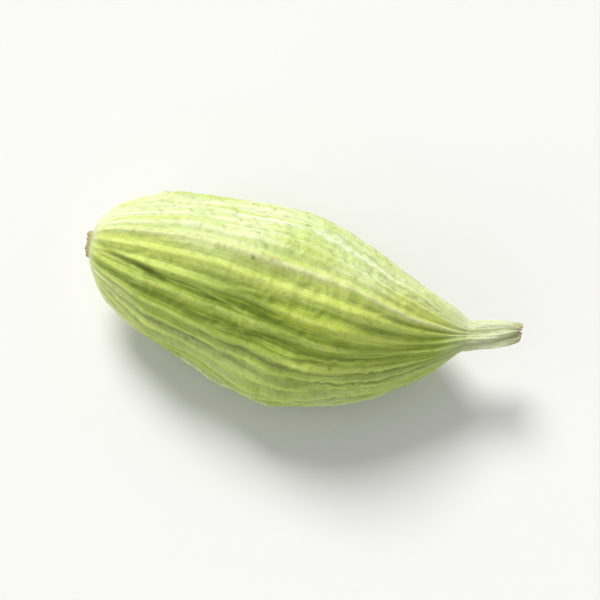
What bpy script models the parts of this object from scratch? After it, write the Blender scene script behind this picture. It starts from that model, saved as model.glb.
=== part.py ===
# Green cardamom pod, dried and whole, lying on one of its three faces.
# Run it from Blender's text editor or with: blender --background --python part.py
# Metres, +Z up. The pod lies along X, with its stalk scar at -X and its beak at +X,
# and the origin is the middle of its box, on the surface that it lies on.
import math
import random

import bmesh
import bpy
import numpy as np

MM = 0.001

# Driving sizes of the pod, in millimetres.
POD_LENGTH = 19.5  # stalk scar to beak tip
BODY_START = 0.25  # where the husk swells out of the stalk scar
BODY_END = 17.1  # where the husk has run out into the beak
BODY_RADIUS = 4.06  # mean radius of the section at the belly
BELLY_AT = 0.50  # place of the widest section, as a share of the body
BASE_FULLNESS = 0.44  # under 1 is blunt: the stalk end is rounder than the beak end
BEAK_FULLNESS = 0.74
STALK_RADIUS = 0.64  # stub of the stalk at the scar
BEAK_RADIUS = 0.58  # dry beak, near its tip
TIP_RADIUS = 0.26
CORE_BLEND = 1.8  # lower is a softer hollow between the body and the beak
SCAR_DEPTH = 0.14  # the broken pith lies below its rim

# The husk is made of three valves, so the section is a rounded triangle with three keels.
KEELS = 3
LOBE_TERMS = ((3, 0.092), (6, 0.022), (9, 0.005))  # cosine terms, as a share of the radius
TWIST_DEGREES = 9.0  # turn of the keels from stalk to beak

# Veins run along the husk from stalk to beak, and stand out as ribs.
RIBS_PER_FACE = 9
RIB_HEIGHT = 0.12
RIB_STRENGTHS = (0.40, 1.15)  # weakest and strongest vein, as a share of that height
RIB_SHARPNESS = 1.5  # over 1 is a narrow rib with a broad hollow beside it
HOLLOW_SHARE = 0.4  # of a rib's height, the part that its hollows lie below the round form
RIB_AT_ENDS = 0.25  # share of a rib's height that is left on the stalk and the beak
KEEL_HEIGHT = 0.19
RIB_SHARE_OF_RADIUS = 0.08  # most a rib stands out where the pod is thin
RIB_JITTER = 0.20  # shift of a vein, as a share of the spacing
RIB_UNEVENNESS = 0.25  # a vein is stronger in some places than in others
RIB_SEED = 8

# Drying leaves the husk bent and uneven: its belly bulges to one side of a line from scar to tip.
BEND_SIDE = -1.02
BEND_SKEW = 1.9  # over 1 moves the middle of that bend from half way towards the beak
BEND_UP = 0.34
MEANDER_TERMS = ((1, 14.0, 0.4, 0.030), (2, 11.0, 2.6, 0.012))  # as below, but turned, in radians
SWELL_TERMS = (  # waves round the pod, length of a wave along it, phase, height
    (1, 9.5, 0.6, 0.080),
    (2, 7.0, 2.1, 0.070),
    (4, 5.2, 4.0, 0.045),
)

FLAT_DEPTH = 0.30  # flattened spot that it rests on
COLUMNS_PER_RIB = 4
STATIONS = 42


def remove_everything():
    for obj in list(bpy.data.objects):
        bpy.data.objects.remove(obj, do_unlink=True)


def body_radius(x):
    """Mean radius of the swollen husk, which is nothing at both its ends."""
    share = min(max((x - BODY_START) / (BODY_END - BODY_START), 0.0), 1.0)
    swing = math.sin(math.pi * share ** (math.log(0.5) / math.log(BELLY_AT)))
    blend = share * share * (3.0 - 2.0 * share)
    fullness = BASE_FULLNESS + (BEAK_FULLNESS - BASE_FULLNESS) * blend
    return BODY_RADIUS * max(swing, 0.0) ** fullness


def core_radius(x):
    """Radius of the stalk, carried through to the beak."""
    along = x / POD_LENGTH
    radius = STALK_RADIUS + (BEAK_RADIUS - STALK_RADIUS) * along
    from_tip = min((POD_LENGTH - x) / (2.0 * BEAK_RADIUS), 1.0)
    return TIP_RADIUS + (radius - TIP_RADIUS) * math.sqrt(max(from_tip, 0.0))


def pod_radius(x):
    return (body_radius(x) ** CORE_BLEND + core_radius(x) ** CORE_BLEND) ** (1.0 / CORE_BLEND)


def swollen(x):
    """1 over the swollen husk and 0 over the stalk and the beak."""
    return (body_radius(x) / pod_radius(x)) ** (CORE_BLEND + 1.0)


def rib_crests():
    """Angle and strength of each rib, anticlockwise from the upper keel."""
    dice = random.Random(RIB_SEED)
    count = KEELS * RIBS_PER_FACE
    pitch = 2.0 * math.pi / count
    crests = []
    for i in range(count):
        on_keel = i % RIBS_PER_FACE == 0
        shift = 0.0 if on_keel else dice.uniform(-RIB_JITTER, RIB_JITTER)
        strength = 1.0 if on_keel else dice.uniform(*RIB_STRENGTHS)
        crests.append(((i + shift) * pitch, strength, on_keel))
    return crests


def columns():
    """Angle, rib height and valley-to-crest share of each lengthwise line of the mesh."""
    crests = rib_crests()
    lines = []
    for i, (angle, strength, on_keel) in enumerate(crests):
        before = crests[i - 1][0] - (2.0 * math.pi if i == 0 else 0.0)
        after = crests[(i + 1) % len(crests)][0] + (2.0 * math.pi if i == len(crests) - 1 else 0.0)
        height = KEEL_HEIGHT if on_keel else RIB_HEIGHT * strength
        for step in range(COLUMNS_PER_RIB):
            across = 2.0 * step / COLUMNS_PER_RIB - 1.0
            reach = (angle - before if across < 0 else after - angle) / 2.0
            crest = 0.5 + 0.5 * math.cos(math.pi * across)
            lines.append((angle + across * reach, height, crest))
    return lines


def waves(terms, x, angle):
    return sum(
        size * math.sin(around * angle + 2.0 * math.pi * x / length + phase)
        for around, length, phase, size in terms
    )


def surface_point(x, angle, height, crest):
    """A point of the husk, in millimetres, with X from the stalk scar."""
    radius = pod_radius(x)
    full = swollen(x)
    lobes = sum(share * math.cos(order * angle) for order, share in LOBE_TERMS)
    uneven = 1.0 + RIB_UNEVENNESS * math.sin(7.0 * angle + 2.0 * math.pi * x / 6.5)
    rib = height * math.tanh(RIB_SHARE_OF_RADIUS * radius / height) * uneven
    rib *= (RIB_AT_ENDS + (1.0 - RIB_AT_ENDS) * full) * (crest ** RIB_SHARPNESS - HOLLOW_SHARE)
    reach = radius * (1.0 + lobes * full) + waves(SWELL_TERMS, x, angle) * full + rib
    along = x / POD_LENGTH
    turned = math.pi / 2.0 + angle + math.radians(TWIST_DEGREES) * (along - BELLY_AT)
    turned += waves(MEANDER_TERMS, x, angle) * full
    side = BEND_SIDE * math.sin(math.pi * along ** BEND_SKEW)
    up = BEND_UP * along ** 4
    return x, side + reach * math.cos(turned), up + reach * math.sin(turned)


def station_places():
    """Distances from the stalk scar, evenly spaced along the pod's outline."""
    fine = np.linspace(0.0, POD_LENGTH, 2000)
    outline = np.array([pod_radius(x) for x in fine])
    travelled = np.concatenate([[0.0], np.cumsum(np.hypot(np.diff(fine), np.diff(outline)))])
    return np.interp(np.linspace(0.0, travelled[-1], STATIONS), travelled, fine)


def pod_points():
    """Rings of points from the scar's floor to the beak, as an array of rings, columns and XYZ."""
    lines = columns()
    rings = [[surface_point(x, *line) for line in lines] for x in station_places()]
    rim = np.array(rings[0])
    middle = rim.mean(axis=0)
    floor = middle + (rim - middle) * 0.62
    floor[:, 0] += SCAR_DEPTH
    return np.concatenate([floor[None], np.array(rings)])


def set_down(points):
    """Flattens the lowest spot and centres the pod on its box, standing on z = 0."""
    rest = points[..., 2].min() + FLAT_DEPTH
    points[..., 2] = np.maximum(points[..., 2], rest) - rest
    low, high = points.min(axis=(0, 1)), points.max(axis=(0, 1))
    points[..., :2] -= ((low + high) / 2.0)[:2]
    return points


def build_pod():
    points = set_down(pod_points()) * MM
    pod = bmesh.new()
    rings = [[pod.verts.new(point) for point in ring] for ring in points]
    around = len(rings[0])
    for ring, following in zip(rings, rings[1:]):
        for i in range(around):
            j = (i + 1) % around
            pod.faces.new((ring[i], following[i], following[j], ring[j]))
    for ring in (rings[0], rings[-1]):
        bmesh.ops.contextual_create(pod, geom=[pod.edges.get((ring[i - 1], ring[i])) for i in range(around)])
    flat = [face for face in pod.faces if all(abs(corner.co.z) < 1e-7 for corner in face.verts)]
    bmesh.ops.dissolve_faces(pod, faces=flat)
    bmesh.ops.recalc_face_normals(pod, faces=pod.faces)
    mesh = bpy.data.meshes.new("cardamom_pod")
    pod.to_mesh(mesh)
    pod.free()
    mesh.shade_smooth()
    obj = bpy.data.objects.new("cardamom_pod", mesh)
    bpy.context.scene.collection.objects.link(obj)
    return obj


def husk_material():
    husk = bpy.data.materials.new("dried husk")
    husk.use_nodes = True
    shader = husk.node_tree.nodes["Principled BSDF"]
    shader.inputs["Base Color"].default_value = (0.42, 0.52, 0.13, 1.0)
    shader.inputs["Roughness"].default_value = 0.58
    shader.inputs["Metallic"].default_value = 0.0
    return husk


remove_everything()
cardamom_pod = build_pod()
cardamom_pod.data.materials.append(husk_material())
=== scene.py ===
import math
import random

import bpy
import numpy as np
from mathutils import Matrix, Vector


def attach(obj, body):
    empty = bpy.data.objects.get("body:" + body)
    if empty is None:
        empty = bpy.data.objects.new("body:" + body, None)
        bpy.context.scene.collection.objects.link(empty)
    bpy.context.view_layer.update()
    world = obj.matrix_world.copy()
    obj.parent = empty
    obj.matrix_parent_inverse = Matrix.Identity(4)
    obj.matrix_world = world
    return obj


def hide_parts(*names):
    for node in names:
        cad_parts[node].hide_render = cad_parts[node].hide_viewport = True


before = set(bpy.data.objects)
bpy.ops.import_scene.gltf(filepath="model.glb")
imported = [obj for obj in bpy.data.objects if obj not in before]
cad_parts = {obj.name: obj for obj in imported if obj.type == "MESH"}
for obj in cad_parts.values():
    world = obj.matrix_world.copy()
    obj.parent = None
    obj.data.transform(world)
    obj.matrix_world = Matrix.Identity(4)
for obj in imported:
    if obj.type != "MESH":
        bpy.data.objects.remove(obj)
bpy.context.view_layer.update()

mm = 0.001
turn = 2.0 * math.pi
print("frame loaded")

# One dried green cardamom pod, lying on one of its three faces, stalk end at -X and beak at +X.
# Millimetres and radians, with x from the stalk scar. The first half repeats the solid's own sizes.
pod = {
    "length": 19.5,
    "bodyStart": 0.25,  # where the husk swells out of the stalk scar
    "bodyEnd": 17.1,  # where it has run out into the beak
    "bodyRadius": 4.06,
    "bellyAt": 0.50,  # place of the widest section, as a share of the body
    "baseFullness": 0.44,  # under 1 is blunt
    "beakFullness": 0.74,
    "stalkRadius": 0.64,
    "beakRadius": 0.58,
    "tipRadius": 0.26,
    "coreBlend": 1.8,
    "keels": 3,
    "lobes": ((3, 0.092), (6, 0.022), (9, 0.005)),  # cosine terms of the section
    "twistDegrees": 9.0,
    "ribsPerFace": 9,
    "ribHeight": 0.12,
    "ribStrengths": (0.40, 1.15),
    "ribSharpness": 1.5,
    "hollowShare": 0.4,
    "ribAtEnds": 0.25,
    "keelHeight": 0.19,
    "ribShareOfRadius": 0.08,
    "ribJitter": 0.20,
    "ribUnevenness": 0.25,
    "ribUnevenWaves": (7.0, 6.5),  # waves round, mm along
    "ribSeed": 8,
    "bendSide": -1.02,
    "bendSkew": 1.9,
    "bendUp": 0.34,
    # Waves: how many go round, mm along, phase, and radians for the first and mm for the second.
    "meander": ((1, 14.0, 0.4, 0.030), (2, 11.0, 2.6, 0.012)),
    "swell": ((1, 9.5, 0.6, 0.080), (2, 7.0, 2.1, 0.070), (4, 5.2, 4.0, 0.045)),
    "flatDepth": 0.30,
    # From here on is what drying did to the skin, which only the fine mesh shows.
    "columnsPerRib": 12,
    "stations": 290,
    "outlineSteps": 4000,  # to measure the outline by
    "wrinkledFrom": (0.3, 2.4),  # the body's wrinkles set in between these, in mm from the scar
    "wrinkledTo": 3.0,  # and fade out this far before the body's end
    "beakFrom": (2.6, 0.2),  # mm before the body's end between which the beak's folds set in
    "stubTo": (1.4, 0.2),  # mm from the scar between which the stub's lumps set in
    "veinHeight": 0.060,  # sharp top of each rib
    "keelVeinHeight": 0.080,
    "veinSharpness": 6,
    "veinLowered": 0.12,  # share of its height by which a vein's foot lies under the form
    "sideVeinHeight": 0.085,  # between the ribs, where they wander, meet and part
    "sideVeinWidth": 0.24,
    "sideVeinSharpness": 1.5,
    "sideVeinLowered": 0.3,  # the same for the side veins
    "wrinkleLevel": 0.3,  # share of their height that keeps puckers and seeds level on the whole
    "puckerOnCrest": 0.2,  # share of a pucker that is left on top of a rib
    "crinkled": 0.75,  # share of the puckers that shows on the whole
    "wrinkles": {  # mm along the pod, mm round its belly, height in mm, seed
        "sideVeins": (4.6, 0.95, 1.0, 21),  # fine veins run where this noise is nothing
        "fibres": (3.8, 0.34, 0.030, 1),
        "shortFibres": (1.4, 0.24, 0.020, 2),
        "puckers": (0.40, 0.85, 0.150, 3),  # skin drawn up crosswise between the ribs
        "crepe": (0.25, 0.38, 0.036, 11),  # finer wrinkles all over, as on crepe paper
        "seeds": (2.3, 2.1, 0.170, 4),  # the husk sinks in between the seeds under it
        "dents": (3.4, 2.9, 0.110, 14),
        "beakLumps": (0.7, 1.7, 0.050, 5),
        "stubLumps": (0.5, 2.4, 0.100, 6),
    },
    "wanders": {  # the same, but the height is how far a rib strays sideways
        "longWander": (3.4, 1.9, 0.100, 15),
        "shortWander": (1.2, 1.0, 0.030, 16),
    },
    "uneven": {  # the same, as a share of the height that it changes
        "ribFading": (3.2, 1.0, 0.85, 13),
        "crinkling": (2.6, 2.6, 0.60, 17),
        "drawing": (1.2, 0.9, 0.42, 10),  # mm that a pucker bends along the pod
        "paleSideEdge": (3.0, 1.6, 0.16, 18),  # radians that the edge of the pale side strays
    },
    "paleSideFrom": 0.68,  # angle at which the pale side begins, partly sun-bleached skin and partly painted light on the top and back
    "paleSideTo": -0.78,  # and at which it is palest
    "paleSideBehind": (-2.2, -0.95),  # angles between which it ends again, on the back
    "paleSideSlant": 0.03,  # radians that its edges turn for each mm along
    "paleSideLevelAt": 9.0,  # mm along at which they haven't turned
    "keelMarkWidth": 0.040,  # radians
    "marksFrom": (0.2, 1.5),  # mm from the scar between which ribs and veins take their colours
    "pastEnds": 0.2,  # mm past the ends at which the pith and the tip's hollow take theirs
    "shrinkage": 0.035,  # mm that the skin sank on the whole
    "creases": (  # angle at its start, start, end, depth, slant in radians for each mm
        (0.36, 0.3, 5.0, 0.30, 0.055),
        (0.95, 8.6, 13.4, 0.13, -0.012),
        (2.55, 5.2, 12.0, 0.16, 0.008),
        (4.55, 3.0, 9.0, 0.15, -0.006),
        (5.45, 9.5, 14.5, 0.14, 0.010),
    ),
    "creaseWidth": 0.17,  # mm
    "creaseWander": (0.02, 1.3),  # radians that it strays, radians of its wave for each mm along
    "creaseOpening": (0.3, 0.5),  # shares of its length over which it opens and closes
    "beakFolds": ((7, 0.9, 0.0, 0.075), (4, -1.7, 1.0, 0.040)),  # folds round, twist, phase, height
    "raggedTip": 0.35,
    "raggedFrom": 1.4,  # mm before the tip
    "tornNoise": (1.0, 1.6, 1.0, 7),  # pitch as for the wrinkles, and for the scar the same
    "brokenScar": ((1.0, 2.4, 0.075, 8), (1.0, 0.8, 0.060, 12), (1.0, 0.35, 0.045, 19)),
    "brokenTo": 0.4,  # mm from the scar
    "tipHollow": ((0.72, 0.05), (0.5, 0.32), (0.12, 0.4)),  # share of the tip's rim, depth
    "scarTaper": 0.16,  # the stub shrank towards its broken end
    "scarTaperTo": (0.3, -0.1),  # mm from the scar between which it sets in
    "scarDepth": 0.14,
    "pithShares": (0.06, 0.22, 0.42, 0.62, 0.80, 0.93),  # rings of the pith, as shares of the rim
    "pithRoughness": 0.07,
    "pithNoise": (0.5, 5.0, 1.0, 9),  # mm round the innermost ring, and less for the outer ones
    "pithSlope": (0.7, 0.5),  # share of the depth in the middle, and what the rim adds to it
    "seed": 23,
}


# Mean radius of the swollen husk, which is nothing at both its ends.
def bodyRadius(x):
    share = np.clip((x - pod["bodyStart"]) / (pod["bodyEnd"] - pod["bodyStart"]), 0.0, 1.0)
    swing = np.sin(math.pi * share ** (math.log(0.5) / math.log(pod["bellyAt"])))
    blend = share * share * (3.0 - 2.0 * share)
    fullness = pod["baseFullness"] + (pod["beakFullness"] - pod["baseFullness"]) * blend
    return pod["bodyRadius"] * np.maximum(swing, 0.0) ** fullness


# Radius of the stalk, carried through to the beak.
def coreRadius(x):
    stalk, beak, tip = pod["stalkRadius"], pod["beakRadius"], pod["tipRadius"]
    radius = stalk + (beak - stalk) * x / pod["length"]
    fromTip = np.clip((pod["length"] - x) / (2.0 * beak), 0.0, 1.0)
    return tip + (radius - tip) * np.sqrt(fromTip)


def podRadius(x):
    power = pod["coreBlend"]
    return (bodyRadius(x) ** power + coreRadius(x) ** power) ** (1.0 / power)


def smoothStep(low, high, value):
    share = np.clip((value - low) / (high - low), 0.0, 1.0)
    return share * share * (3.0 - 2.0 * share)


def waves(terms, x, angle):
    return sum(
        size * np.sin(around * angle + turn * x / length + phase)
        for around, length, phase, size in terms
    )


# Smooth noise over x and the angle, joined up all round: pitch = mm along, mm round, height, seed.
# Each column of its cells starts and stretches at random, so that no cells line up round the pod.
def skinNoise(pitch, x, angle):
    mmAlong, mmRound, height, seed = pitch
    cells = max(int(round(turn * pod["bodyRadius"] / mmRound)), 2)
    rows = int(1.2 * pod["length"] / mmAlong) + 8  # enough for the column with the shortest cells
    dice = np.random.default_rng(pod["seed"] + seed)
    grid = dice.uniform(-1.0, 1.0, (rows, cells))
    start, stretch = dice.uniform(2.0, 3.0, cells), dice.uniform(0.85, 1.15, cells)
    around = angle / turn * cells
    j = np.floor(around).astype(int)
    across = smoothStep(0.0, 1.0, around - j)
    value = 0.0
    for column, share in ((j % cells, 1.0 - across), ((j + 1) % cells, across)):
        along = x / mmAlong * stretch[column] + start[column]
        i = np.clip(np.floor(along).astype(int), 0, rows - 2)
        step = smoothStep(0.0, 1.0, along - i)
        value = value + share * (grid[i, column] * (1.0 - step) + grid[i + 1, column] * step)
    return height * value


# For each lengthwise line: its angle, its rib's height, how near it is to the crest, 1 on a keel.
def huskLines():
    dice = random.Random(pod["ribSeed"])
    count = pod["keels"] * pod["ribsPerFace"]
    crests = []
    for i in range(count):
        onKeel = i % pod["ribsPerFace"] == 0
        shift = 0.0 if onKeel else dice.uniform(-pod["ribJitter"], pod["ribJitter"])
        strength = 1.0 if onKeel else dice.uniform(*pod["ribStrengths"])
        crests.append(((i + shift) * turn / count, strength, onKeel))
    lines = []
    steps = pod["columnsPerRib"]
    for i, (angle, strength, onKeel) in enumerate(crests):
        before = crests[i - 1][0] - (turn if i == 0 else 0.0)
        after = crests[(i + 1) % count][0] + (turn if i == count - 1 else 0.0)
        height = pod["keelHeight"] if onKeel else pod["ribHeight"] * strength
        for step in range(steps):
            across = 2.0 * step / steps - 1.0
            reach = (angle - before if across < 0 else after - angle) / 2.0
            crest = 0.5 + 0.5 * math.cos(math.pi * across)
            lines.append((angle + across * reach, height, crest, onKeel))
    return np.array(lines, dtype=float).T[:, None, :]


# Distances from the stalk scar, evenly spaced along the outline.
def huskStations(count):
    fine = np.linspace(0.0, pod["length"], pod["outlineSteps"])
    outline = np.hypot(np.diff(fine), np.diff(podRadius(fine)))
    travelled = np.concatenate([[0.0], np.cumsum(outline)])
    return np.interp(np.linspace(0.0, travelled[-1], count), travelled, fine)[:, None]


# The solid's own surface, plus any relief in mm and straying sideways in radians.
def huskPoints(x, angle, height, crest, relief=0.0, strayed=0.0):
    radius = podRadius(x)
    full = (bodyRadius(x) / radius) ** (pod["coreBlend"] + 1.0)
    lobes = sum(share * np.cos(order * angle) for order, share in pod["lobes"])
    wavesRound, mmAlong = pod["ribUnevenWaves"]
    uneven = 1.0 + pod["ribUnevenness"] * np.sin(wavesRound * angle + turn * x / mmAlong)
    rib = height * np.tanh(pod["ribShareOfRadius"] * radius / height) * uneven
    rib = rib * (pod["ribAtEnds"] + (1.0 - pod["ribAtEnds"]) * full)
    rib = rib * (crest ** pod["ribSharpness"] - pod["hollowShare"])
    reach = radius * (1.0 + lobes * full) + waves(pod["swell"], x, angle) * full + rib + relief
    along = x / pod["length"]
    turned = math.pi / 2.0 + angle + math.radians(pod["twistDegrees"]) * (along - pod["bellyAt"])
    turned = turned + waves(pod["meander"], x, angle) * full + strayed
    side = pod["bendSide"] * np.sin(math.pi * along ** pod["bendSkew"]) + reach * np.cos(turned)
    up = pod["bendUp"] * along**4 + reach * np.sin(turned)
    return np.stack([x + 0.0 * angle, side, up], axis=-1)


# How deep in a crease each point lies, from 0 to the crease's depth in mm.
def creaseDepths(x, angle):
    depths = 0.0 * x * angle
    strays, wave = pod["creaseWander"]
    opening, closing = pod["creaseOpening"]
    for startAngle, start, end, depth, slant in pod["creases"]:
        wavy = startAngle + slant * (x - start) + strays * np.sin(wave * x + start)
        away = ((angle - wavy + math.pi) % turn - math.pi) * podRadius(x) / pod["creaseWidth"]
        length = end - start
        opened = smoothStep(start, start + opening * length, x)
        opened = opened * smoothStep(end, end - closing * length, x)
        depths = np.maximum(depths, depth * np.exp(-away * away) * opened)
    return depths


# 1 on the line of a fine vein, falling to nothing beside it.
def sideVeins(x, angle):
    away = np.abs(skinNoise(pod["wrinkles"]["sideVeins"], x, angle)) / pod["sideVeinWidth"]
    return np.clip(1.0 - away, 0.0, 1.0) ** pod["sideVeinSharpness"]


# 1 over the wrinkled body, and nothing over the stub and the beak.
def onBody(x):
    end = pod["bodyEnd"]
    return smoothStep(*pod["wrinkledFrom"], x) * smoothStep(end, end - pod["wrinkledTo"], x)


# Height in mm that drying added to the solid's form, or took from it.
def dryingRelief(x, angle, height, crest, onKeel):
    wrinkles, uneven = pod["wrinkles"], pod["uneven"]
    thin = np.clip(podRadius(x) / pod["bodyRadius"], 0.0, 1.0)
    full = onBody(x)
    beak = smoothStep(pod["bodyEnd"] - pod["beakFrom"][0], pod["bodyEnd"] - pod["beakFrom"][1], x)
    stub = smoothStep(*pod["stubTo"], x)

    vein = pod["keelVeinHeight"] * onKeel + pod["veinHeight"] * (1.0 - onKeel)
    ridge = crest ** pod["veinSharpness"] - pod["veinLowered"]
    relief = vein * ridge * np.sqrt(thin) * (1.0 - stub)
    relief += height * (crest - 0.5) * skinNoise(uneven["ribFading"], x, angle) * full
    relief += pod["sideVeinHeight"] * (sideVeins(x, angle) - pod["sideVeinLowered"]) * full
    relief += skinNoise(wrinkles["fibres"], x, angle) * thin
    relief += skinNoise(wrinkles["shortFibres"], x, angle) * thin

    drawnUp = x + skinNoise(uneven["drawing"], x, angle)
    crinkled = np.clip(pod["crinkled"] + skinNoise(uneven["crinkling"], x, angle), 0.0, 1.0)
    level, onCrest = pod["wrinkleLevel"], pod["puckerOnCrest"]
    drawnIn = np.abs(skinNoise(wrinkles["puckers"], drawnUp, angle))
    pucker = level * wrinkles["puckers"][2] - drawnIn
    relief += pucker * (onCrest + (1.0 - onCrest) * (1.0 - crest)) * crinkled * full
    relief += skinNoise(wrinkles["crepe"], drawnUp, angle) * full
    bulge = np.abs(skinNoise(wrinkles["seeds"], x, angle)) - level * wrinkles["seeds"][2]
    relief += (bulge + skinNoise(wrinkles["dents"], x, angle)) * full
    relief -= creaseDepths(x, angle) + pod["shrinkage"] * full

    folds = sum(
        size * np.cos(around * angle + twist * x + phase)
        for around, twist, phase, size in pod["beakFolds"]
    )
    relief += (folds + skinNoise(wrinkles["beakLumps"], x, angle)) * beak
    relief += skinNoise(wrinkles["stubLumps"], x, angle) * stub
    relief -= pod["scarTaper"] * smoothStep(*pod["scarTaperTo"], x)
    return relief


# The dried skin, as rings of points from the scar's broken rim to the beak's ragged tip.
def growSkin(x, lines):
    angle, height, crest, _ = lines
    strayed = sum(skinNoise(pitch, x, angle) for pitch in pod["wanders"].values())
    strayed = strayed / pod["bodyRadius"] * onBody(x)
    skin = huskPoints(x, angle, height, crest, dryingRelief(x, *lines), strayed)
    tornBack = 0.5 + 0.5 * skinNoise(pod["tornNoise"], 0.0, angle)
    nearTip = smoothStep(pod["length"] - pod["raggedFrom"], pod["length"], x)
    skin[..., 0] -= pod["raggedTip"] * tornBack * nearTip
    broken = sum(skinNoise(pitch, 0.0, angle) for pitch in pod["brokenScar"])
    skin[..., 0] += broken * smoothStep(pod["brokenTo"], 0.0, x)
    return skin


# The sunken pith inside the scar's rim, from its middle outward.
def pithRings(rim, angle):
    middle = rim.mean(axis=0)
    mmAlong, mmRound, height, seed = pod["pithNoise"]
    inMiddle, atRim = pod["pithSlope"]
    rings = []
    for i, share in enumerate(pod["pithShares"]):
        ring = middle + (rim - middle) * share
        place = np.array([[mmAlong * i]])  # a place of its own in the noise for each ring
        lump = skinNoise((mmAlong, mmRound / (1 + i), height, seed), place, angle)[0]
        sunken = 1.0 - share**6
        ring[:, 0] = middle[0] + pod["scarDepth"] * sunken * (inMiddle + atRim * share)
        ring[:, 0] += pod["pithRoughness"] * lump * sunken
        rings.append(ring)
    return np.array(rings)


# The hollow in the beak's broken tip, from its rim inward.
def tipRings(rim):
    middle = rim.mean(axis=0)
    rings = []
    for share, depth in pod["tipHollow"]:
        ring = middle + (rim - middle) * share
        ring[:, 0] -= depth
        rings.append(ring)
    return np.array(rings)


# What the husk's finish reads at each point: ribs, keels, veins, creases, sides and ends.
def huskMarks(places, angle, crest):
    full = smoothStep(*pod["marksFrom"], places)
    keelSpacing = turn / pod["keels"]
    fromKeel = np.abs((angle + keelSpacing / 2.0) % keelSpacing - keelSpacing / 2.0)
    # The pale side: partly sun-bleached skin, partly painted light on the top and back of the pod.
    turnedBy = (angle + math.pi) % turn - math.pi
    turnedBy = turnedBy + skinNoise(pod["uneven"]["paleSideEdge"], places, angle)
    turnedBy += pod["paleSideSlant"] * (places - pod["paleSideLevelAt"])
    bleachedAndLit = smoothStep(pod["paleSideFrom"], pod["paleSideTo"], turnedBy)
    deepest = max(crease[3] for crease in pod["creases"])
    everywhere = 0.0 * places * angle
    return {
        "ribCrest": crest * full + 0.5 * (1.0 - full),
        "keelCrest": np.exp(-(fromKeel / pod["keelMarkWidth"]) ** 2) * full,
        "bleachedAndLitSide": bleachedAndLit * smoothStep(*pod["paleSideBehind"], turnedBy),
        "creaseShade": creaseDepths(places, angle) / deepest,
        "sideVein": sideVeins(places, angle) * full,
        "underside": 0.5 - 0.5 * np.cos(angle) + everywhere,
        "alongPod": places / pod["length"] + everywhere,
        "grainSpace": np.stack([
            pod["bodyRadius"] * np.cos(angle) + everywhere,
            pod["bodyRadius"] * np.sin(angle) + everywhere,
            places + everywhere,
        ], axis=-1),
    }


# All rings from the pith in the scar to the hollow in the beak's tip, and the marks on them.
# The pod is set down and centred by its bare form, so that it lies where the solid does.
def growHusk():
    lines = huskLines()
    angle, height, crest, _ = lines
    x = huskStations(pod["stations"])
    skin = growSkin(x, lines)
    pith, hollowTip = pithRings(skin[0], angle), tipRings(skin[-1])
    rings = np.concatenate([pith, skin, hollowTip])

    bare = huskPoints(x, angle, height, crest)
    rest = bare[..., 2].min() + pod["flatDepth"]
    low, high = bare.min(axis=(0, 1)), bare.max(axis=(0, 1))
    rings[..., 2] = np.maximum(rings[..., 2] - rest, 0.0)
    rings[..., :2] -= ((low + high) / 2.0)[:2]

    inPith = np.full(len(pith), -pod["pastEnds"])
    inTip = np.full(len(hollowTip), pod["length"] + pod["pastEnds"])
    places = np.concatenate([inPith, x[:, 0], inTip])[:, None]
    return rings, huskMarks(places, angle, crest)


# A skin through rings of points, closed at its ends by a fan round a middle point.
def meshFromRings(name, rings, closedStart=True):
    count, around = rings.shape[:2]
    corners = np.arange(count * around).reshape(count, around)
    following = np.roll(corners, -1, axis=1)
    quads = np.stack([corners[:-1], following[:-1], following[1:], corners[1:]], axis=-1)
    faces = quads.reshape(-1, 4).tolist()
    points = rings.reshape(-1, 3).tolist() + [rings[-1].mean(axis=0).tolist()]
    faces += [(a, b, count * around) for a, b in zip(corners[-1].tolist(), following[-1].tolist())]
    if closedStart:
        points.append(rings[0].mean(axis=0).tolist())
        last = len(points) - 1
        faces += [(b, a, last) for a, b in zip(corners[0].tolist(), following[0].tolist())]
    mesh = bpy.data.meshes.new(name)
    mesh.from_pydata((np.array(points) * mm).tolist(), [], faces)
    mesh.shade_smooth()
    mesh.update()
    obj = bpy.data.objects.new(name, mesh)
    bpy.context.scene.collection.objects.link(obj)
    return obj


# Marks go on the mesh as attributes, with the two middle points taking the value beside them.
def markPoints(mesh, marks):
    for name, values in marks.items():
        size = values.shape[2] if values.ndim == 3 else 1
        flat = values.reshape(-1, size)
        flat = np.concatenate([flat, flat[-1:], flat[:1]]).astype(np.float32).reshape(-1)
        layer = mesh.attributes.new(name, "FLOAT_VECTOR" if size == 3 else "FLOAT", "POINT")
        layer.data.foreach_set("vector" if size == 3 else "value", flat)


rings, marks = growHusk()
husk = meshFromRings("husk", rings)
markPoints(husk.data, marks)
print("husk grown:", len(husk.data.polygons), "faces")


def toLinear(hexColour):
    channels = [int(hexColour[i:i + 2], 16) / 255.0 for i in (1, 3, 5)]
    return [c / 12.92 if c <= 0.04045 else ((c + 0.055) / 1.055) ** 2.4 for c in channels] + [1.0]


# Adds a node, sets its properties and inputs, and links any input that is given as a socket.
def addNode(tree, kind, settings=None, inputs=None):
    node = tree.nodes.new(kind)
    for name, value in (settings or {}).items():
        setattr(node, name, value)
    for name, value in (inputs or {}).items():
        if isinstance(value, bpy.types.NodeSocket):
            tree.links.new(value, node.inputs[name])
        else:
            node.inputs[name].default_value = value
    return node
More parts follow.
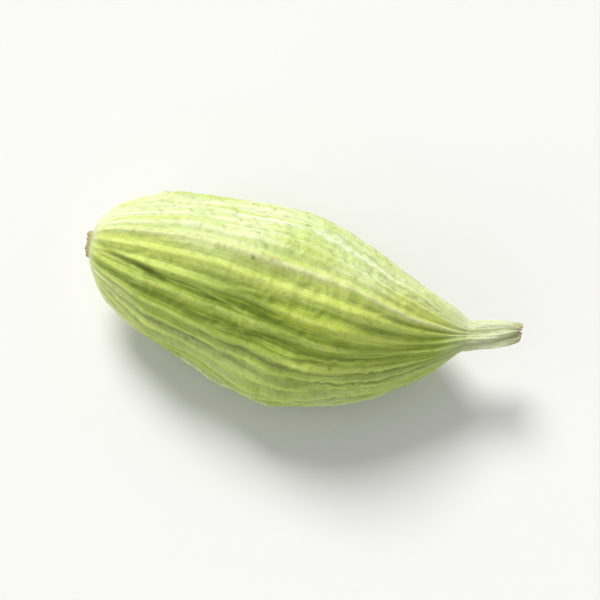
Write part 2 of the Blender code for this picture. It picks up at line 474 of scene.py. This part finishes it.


# Dried cardamom husk: a papery skin over lengthwise veins, dried slowly so that it kept its green.
# The veins and keels dry pale and straw-like, the skin between them stays green and puckers. The
# darker green laid in its hollows and creases is painted shade.
huskFinish = {
    "patterns": {  # mm across, times as long along the pod, detail, distortion
        "patches": (4.5, 2.0, 3.0, 0.0),
        "blotches": (1.6, 2.5, 3.0, 0.3),
        "fibres": (0.32, 22.0, 3.0, 0.0),  # twice as wide as real ones, which would not show
        "fineFibres": (0.16, 14.0, 2.0, 0.0),
        "streaks": (0.9, 3.0, 3.0, 0.0),
        "mottle": (0.24, 1.2, 3.0, 0.3),
        "scuffs": (0.55, 2.2, 3.0, 0.4),
        "specks": (0.24, 1.5, 1.0, 0.0),
        "puckers": (0.26, 0.7, 3.0, 0.6),
    },
    "marks": (
        "ribCrest", "keelCrest", "sideVein", "bleachedAndLitSide", "underside", "creaseShade", "alongPod",
    ),
    "masks": {  # the pattern or mark it reads, the values it starts and ends at, its value at each
        "green": ("patches", 0.38, 0.62, 0.0, 1.0),
        "ripening": ("blotches", 0.42, 0.70, 0.0, 0.80),
        # The pale side's border and its palest part: partly sun-bleached skin, partly painted
        # light.
        "paleSideBorder": ("bleachedAndLitSide", 0.0, 0.24, 0.0, 0.92),
        "paleSidePalest": ("bleachedAndLitSide", 0.32, 0.95, 0.0, 1.0),
        "palePatches": ("blotches", 0.28, 0.60, 0.72, 1.0),
        "towardsBeak": ("alongPod", 0.38, 0.74, 0.0, 0.40),
        "greyerUnderside": ("underside", 0.14, 0.44, 0.0, 0.75),
        "greyerUndersidePatch": ("streaks", 0.35, 0.60, 0.40, 1.0),
        # Painted shade in the hollows between the ribs, kept weaker on the pale side.
        "hollow": ("ribCrest", 0.42, 0.0, 0.0, 0.46),
        "hollowShadeKept": ("bleachedAndLitSide", 0.15, 0.90, 1.0, 0.45),
        "fibre": ("fibres", 0.46, 0.66, 0.0, 0.45),
        "fineFibre": ("fineFibres", 0.50, 0.70, 0.0, 0.40),
        "sideVein": ("sideVein", 0.20, 0.90, 0.0, 0.50),
        "ribTop": ("ribCrest", 0.66, 1.0, 0.0, 1.0),
        "ribBroken": ("streaks", 0.36, 0.60, 0.22, 0.75),
        "keelTop": ("keelCrest", 0.15, 0.9, 0.0, 1.0),
        "keelBroken": ("streaks", 0.34, 0.56, 0.15, 0.80),
        "mottled": ("mottle", 0.48, 0.72, 0.0, 0.30),
        "inCrease": ("creaseShade", 0.10, 1.00, 0.0, 0.55),
        "nearBeak": ("alongPod", 0.80, 0.93, 0.0, 0.92),
        "nearTip": ("alongPod", 0.965, 1.0, 0.0, 0.8),
        "tipBroken": ("fibres", 0.35, 0.60, 0.0, 1.0),
        "nearStalk": ("alongPod", 0.050, 0.012, 0.0, 0.70),
        "stalk": ("alongPod", 0.016, 0.004, 0.0, 0.85),
        "pith": ("alongPod", 0.004, -0.004, 0.0, 0.9),
        "rubbed": ("scuffs", 0.58, 0.70, 0.0, 0.55),
        # Painted highlight along the lower edge near the stalk end.
        "stalkEndHighlight": ("alongPod", 0.19, 0.07, 0.0, 0.90),
        "lowSide": ("underside", 0.12, 0.32, 0.0, 1.0),
        # Painted highlight on the upper side of the neck.
        "neckHighlight": ("alongPod", 0.58, 0.80, 0.0, 0.80),
        "upperSide": ("bleachedAndLitSide", 0.30, 0.85, 0.0, 1.0),
        "speck": ("specks", 0.735, 0.775, 0.0, 0.45),
    },
    "layers": (  # from the bottom up: colour, and the masks that let it show
        ("#92A634", ("green",)),
        ("#B9C93E", ("ripening",)),
        ("#C9D466", ("towardsBeak", "palePatches")),
        # Paler, yellower top and back: partly sun-bleached skin, partly painted light.
        ("#DDEA80", ("paleSideBorder", "palePatches")),
        ("#EEF5CC", ("paleSidePalest", "palePatches")),
        # Painted highlight on the upper side of the neck towards the beak.
        ("#F4F7CE", ("neckHighlight", "upperSide")),
        # Greyer, paler green towards the underside, in streaky patches.
        ("#C0CD94", ("greyerUnderside", "greyerUndersidePatch")),
        # Painted highlight along the lower edge near the stalk end.
        ("#EDF5B4", ("stalkEndHighlight", "lowSide")),
        # Painted shade in the hollows between the ribs.
        ("#5E7216", ("hollow", "hollowShadeKept")),
        ("#C8DA5A", ("fibre",)),
        ("#C8DA5A", ("fineFibre",)),
        ("#C9D86C", ("sideVein", "ribBroken")),
        ("#CDDC6E", ("ribTop", "ribBroken")),
        ("#E3E8A9", ("keelTop", "keelBroken")),
        ("#7C9038", ("mottled",)),
        ("#B59F62", ("keelTop", "rubbed")),
        # Painted shade in the creases.
        ("#44560F", ("inCrease",)),
        ("#E4EABF", ("nearBeak",)),
        ("#B4A56C", ("nearTip", "tipBroken")),
        ("#DADFA6", ("nearStalk",)),
        ("#B7A774", ("stalk",)),
        ("#A8925F", ("pith",)),
        ("#6F5F2C", ("speck",)),
    ),
    "deepGreen": "#6E881C",
    "roughness": 0.56,
    "fibreGloss": 0.08,  # the fibres are smoother than the skin by this much
    "fibreRange": (0.35, 0.65),
    "specular": 0.35,
    "ior": 1.45,
    "glow": 0.05,  # light that seeps through the thin skin
    "glowReach": (0.9, 1.0, 0.4),
    "glowMm": 0.3,
    "bumps": (("fineFibres", 0.7), ("puckers", 1.0), ("mottle", 0.6)),  # pattern, strength
    "bumpMm": 0.05,
}


# The value of every mark, pattern and mask, under its name.
def finishValues(tree):
    values = {}
    for name in huskFinish["marks"]:
        values[name] = addNode(tree, "ShaderNodeAttribute", {"attribute_name": name}).outputs["Fac"]
    grain = addNode(tree, "ShaderNodeAttribute", {"attribute_name": "grainSpace"}).outputs["Vector"]
    for name, (across, drawnOut, detail, distortion) in huskFinish["patterns"].items():
        scale = (1.0 / across, 1.0 / across, 1.0 / (across * drawnOut))
        place = addNode(tree, "ShaderNodeMapping", None, {"Vector": grain, "Scale": scale})
        values[name] = addNode(tree, "ShaderNodeTexNoise", None, {
            "Vector": place.outputs[0], "Scale": 1.0, "Detail": detail, "Distortion": distortion,
        }).outputs["Fac"]
    smooth = {"interpolation_type": "SMOOTHSTEP"}
    for name, (source, start, end, valueAtStart, valueAtEnd) in huskFinish["masks"].items():
        values[name + "Mask"] = addNode(tree, "ShaderNodeMapRange", smooth, {
            "Value": values[source], "From Min": start, "From Max": end,
            "To Min": valueAtStart, "To Max": valueAtEnd,
        }).outputs["Result"]
    return values


def huskMaterial():
    material = bpy.data.materials.new("dried green cardamom husk")
    material.use_nodes = True
    tree = material.node_tree
    shader = tree.nodes["Principled BSDF"]
    values = finishValues(tree)

    skin = toLinear(huskFinish["deepGreen"])
    for hexColour, maskNames in huskFinish["layers"]:
        shown = values[maskNames[0] + "Mask"]
        for maskName in maskNames[1:]:
            shown = addNode(tree, "ShaderNodeMath", {"operation": "MULTIPLY"}, {
                0: shown, 1: values[maskName + "Mask"]}).outputs[0]
        skin = addNode(tree, "ShaderNodeMix", {"data_type": "RGBA"}, {
            0: shown, 6: skin, 7: toLinear(hexColour)}).outputs[2]
    tree.links.new(skin, shader.inputs["Base Color"])

    gloss, (fibreStart, fibreEnd) = huskFinish["fibreGloss"], huskFinish["fibreRange"]
    rough = addNode(tree, "ShaderNodeMapRange", None, {
        "Value": values["fibres"], "From Min": fibreStart, "From Max": fibreEnd,
        "To Min": huskFinish["roughness"] + gloss, "To Max": huskFinish["roughness"] - gloss,
    }).outputs["Result"]
    tree.links.new(rough, shader.inputs["Roughness"])
    shader.inputs["IOR"].default_value = huskFinish["ior"]
    shader.inputs["Specular IOR Level"].default_value = huskFinish["specular"]
    shader.inputs["Subsurface Weight"].default_value = huskFinish["glow"]
    shader.inputs["Subsurface Radius"].default_value = huskFinish["glowReach"]
    shader.inputs["Subsurface Scale"].default_value = huskFinish["glowMm"] * mm

    normal = None
    for pattern, strength in huskFinish["bumps"]:
        under = {"Normal": normal} if normal else {}
        normal = addNode(tree, "ShaderNodeBump", None, {
            "Strength": strength, "Distance": huskFinish["bumpMm"] * mm,
            "Height": values[pattern], **under}).outputs["Normal"]
    tree.links.new(normal, shader.inputs["Normal"])
    return material


husk.data.materials.append(huskMaterial())
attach(husk, "root")
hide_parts("cardamom_pod")
print("husk finished")

# A plain pale table, soft light from the upper left, and a camera that looks down on the pod.
studio = {
    "floor": "#ECEBE8",
    "floorRoughness": 0.7,
    "world": "#F2F4F7",
    "worldStrength": 0.46,
    "keyFrom": (-0.34, 0.52, 0.78),
    "keyStrength": 2.5,
    "keySoftness": 24.0,  # degrees that the light is wide, seen from the pod
    "fillFrom": (-0.66, -0.52, 0.46),
    "fillStrength": 0.52,
    "fillSoftness": 60.0,
    "flatMetres": 0.5,  # the table is flat this far out, and then sweeps up
    "sweepMetres": 1.0,  # radius of the sweep
    "sweepDegrees": 34.0,
    "sweepSteps": 12,
    "innerMetres": (0.25, 0.01),  # rings of the flat part
    "spokes": 96,
    "lensMm": 90.0,
    "lookFrom": (12.5, 73.0),  # azimuth and elevation, degrees
    "distanceMm": 65.0,
    "aimHeightMm": 4.2,  # half the pod's height
    "clipStart": 0.005,
}


# A round table top with a rim that sweeps up out of sight, so it is pale behind the pod all round.
def addFloor():
    steps, radius = studio["sweepSteps"], studio["sweepMetres"]
    sweep = [math.radians(studio["sweepDegrees"]) * i / steps for i in range(steps, -1, -1)]
    profile = [
        (studio["flatMetres"] + radius * math.sin(a), radius * (1.0 - math.cos(a))) for a in sweep
    ]
    profile += [(inner, 0.0) for inner in studio["innerMetres"]]
    spokes = np.linspace(0.0, turn, studio["spokes"], endpoint=False)
    rings = np.array([[(r * math.cos(a), r * math.sin(a), z) for a in spokes] for r, z in profile])
    floor = meshFromRings("tableTop", rings / mm, closedStart=False)
    paint = bpy.data.materials.new("matt white table top")
    paint.use_nodes = True
    shader = paint.node_tree.nodes["Principled BSDF"]
    shader.inputs["Base Color"].default_value = toLinear(studio["floor"])
    shader.inputs["Roughness"].default_value = studio["floorRoughness"]
    floor.data.materials.append(paint)


def addSoftLight(name, lightFrom, strength, softness):
    light = bpy.data.lights.new(name, "SUN")
    light.energy = strength
    light.angle = math.radians(softness)
    lamp = bpy.data.objects.new(name, light)
    lamp.rotation_euler = (-Vector(lightFrom)).to_track_quat("-Z", "Y").to_euler()
    bpy.context.scene.collection.objects.link(lamp)


def addWorld():
    world = bpy.data.worlds.new("studio")
    world.use_nodes = True
    background = world.node_tree.nodes["Background"]
    background.inputs["Color"].default_value = toLinear(studio["world"])
    background.inputs["Strength"].default_value = studio["worldStrength"]
    bpy.context.scene.world = world


def addCamera():
    azimuth, elevation = (math.radians(a) for a in studio["lookFrom"])
    aim = Vector((0.0, 0.0, studio["aimHeightMm"] * mm))
    away = Vector((math.sin(azimuth), -math.cos(azimuth), math.tan(elevation))).normalized()
    data = bpy.data.cameras.new("camera")
    data.lens = studio["lensMm"]
    data.clip_start = studio["clipStart"]
    camera = bpy.data.objects.new("camera", data)
    camera.location = aim + away * studio["distanceMm"] * mm
    camera.rotation_euler = (-away).to_track_quat("-Z", "Y").to_euler()
    bpy.context.scene.collection.objects.link(camera)
    bpy.context.scene.camera = camera


bpy.context.scene.view_settings.view_transform = "Standard"
addFloor()
addSoftLight("keyLight", studio["keyFrom"], studio["keyStrength"], studio["keySoftness"])
addSoftLight("fillLight", studio["fillFrom"], studio["fillStrength"], studio["fillSoftness"])
addWorld()
addCamera()
print("studio set")
